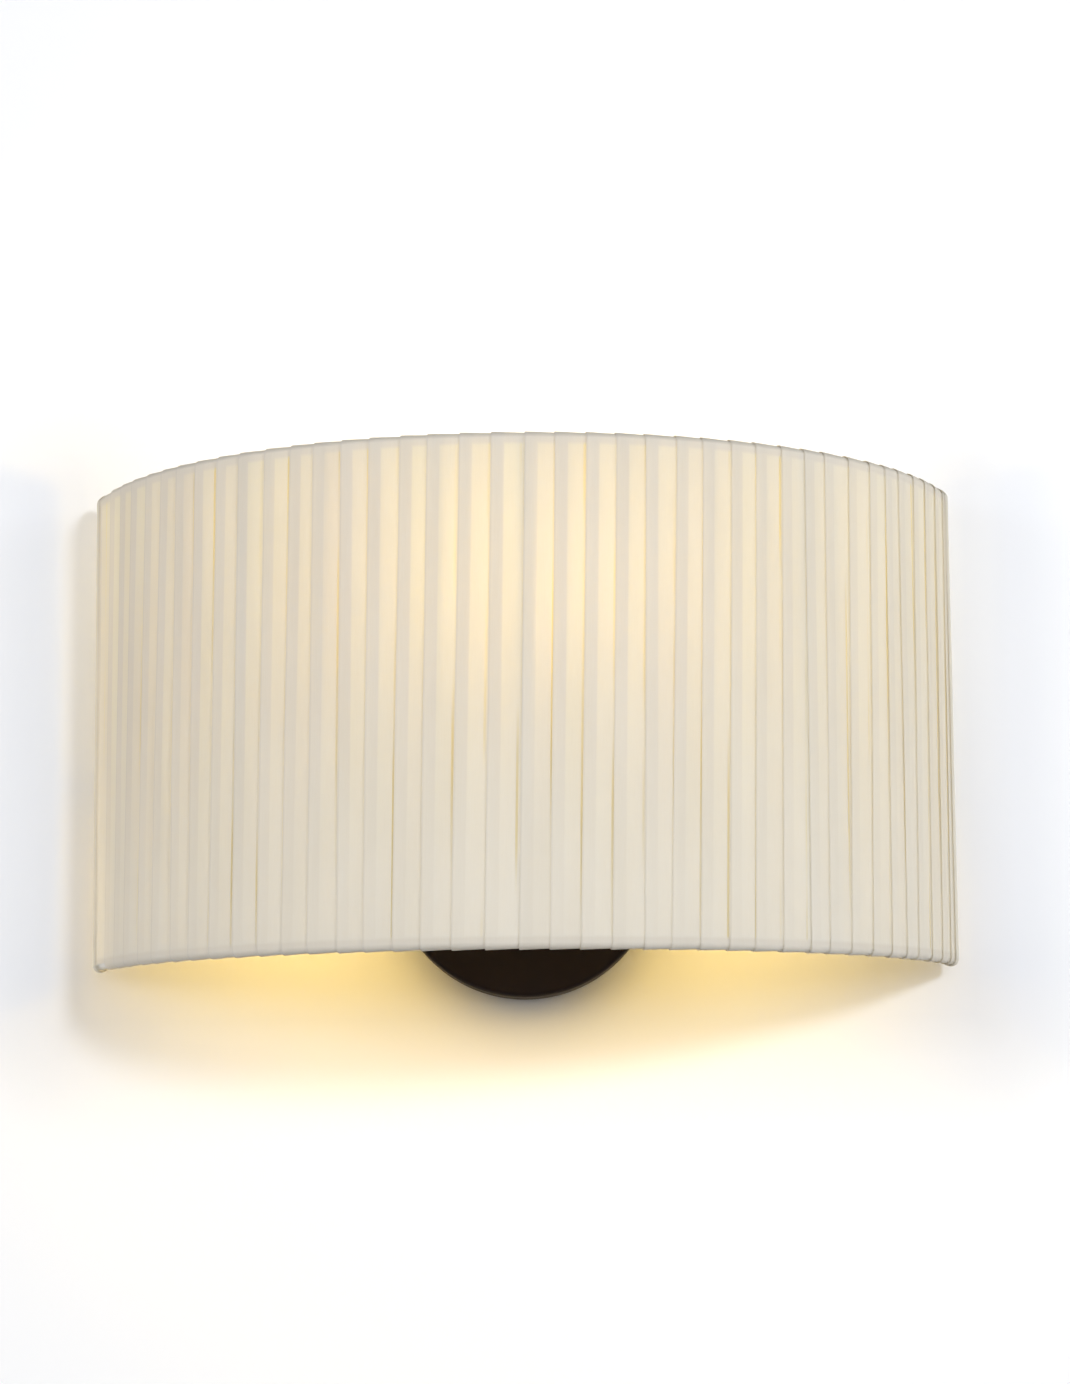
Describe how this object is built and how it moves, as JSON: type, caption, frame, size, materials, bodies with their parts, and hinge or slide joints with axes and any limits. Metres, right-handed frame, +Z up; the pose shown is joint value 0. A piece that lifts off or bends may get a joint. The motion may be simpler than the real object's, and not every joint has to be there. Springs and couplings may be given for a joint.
{
  "type": "wall light",
  "caption": "Half-drum wall light: ribbon-wound fabric shade on a wire frame, carried on the lampholder of a short arm from a round wall canopy.",
  "frame": {"origin": "wall plane, at the centre of the canopy and of the bracket's slot pattern", "axes": "+Y into the wall, +Z up, +X to the right as seen from the room; the shade stands at -Y"},
  "size_m": [0.4514, 0.1811, 0.265],
  "materials": {
    "ribbon": "woven ribbon, matt",
    "frame_wire": "white enamel",
    "canopy_paint": "matt dark brown-black",
    "zinc_steel": "zinc plated",
    "holder_plastic": "moulded, satin",
    "holder_ceramic": "glazed insulator",
    "brass": "plain brass",
    "bulb_opal": "opal, satin",
    "bulb_plastic": "smooth white",
    "bulb_metal": "rolled cap",
    "bulb_black": "black glass insulator",
    "board": "white board",
    "block_nylon": "natural nylon",
    "lead_live": "brown insulation",
    "lead_neutral": "blue insulation"
  },
  "bodies": {
    "fixture": {"wall_bracket": "zinc_steel", "earth_screw": "brass", "canopy": "canopy_paint", "canopy_screws": "zinc_steel", "arm_tube": "canopy_paint", "arm_collar": "canopy_paint", "arm_washer": "zinc_steel", "arm_nut": "zinc_steel", "holder_cap": "holder_plastic", "holder_grub_screw": "zinc_steel", "holder_shell": "holder_plastic", "holder_core": "holder_ceramic", "holder_screw_shell": "brass", "holder_contact": "brass", "holder_terminals": "brass", "shade_rest_ring": "holder_plastic", "terminal_block": "block_nylon", "terminal_screws": "zinc_steel", "live_lead": "lead_live", "neutral_lead": "lead_neutral"},
    "shade": {"shade_ribbon": "ribbon", "shade_end_strips": "ribbon", "frame_top_wire": "frame_wire", "frame_bottom_wire": "frame_wire", "frame_end_uprights": "frame_wire", "frame_middle_uprights": "frame_wire", "fitter_ring": "frame_wire", "fitter_front_rod": "frame_wire", "fitter_side_rods": "frame_wire"},
    "clamp_ring": {"shade_clamp_ring": "holder_plastic"},
    "bulb": {"bulb_globe": "bulb_opal", "bulb_housing": "bulb_plastic", "bulb_cap": "bulb_metal", "bulb_insulator": "bulb_black", "bulb_tip": "zinc_steel", "bulb_led_board": "board"}
  },
  "joints": [
    {"name": "shade_swivel", "type": "hinge", "parent": "fixture", "child": "shade", "pos_m": [0, -0.095, 0.055], "axis": [0, 0, 1], "range_deg": [-3, 3]},
    {"name": "clamp_ring_turn", "type": "hinge", "parent": "fixture", "child": "clamp_ring", "pos_m": [0, -0.095, 0.059], "axis": [0, 0, 1], "range_deg": [0, 1080]},
    {"name": "bulb_turn", "type": "hinge", "parent": "fixture", "child": "bulb", "pos_m": [0, -0.095, 0.06], "axis": [0, 0, 1], "range_deg": [0, 1440]}
  ]
}
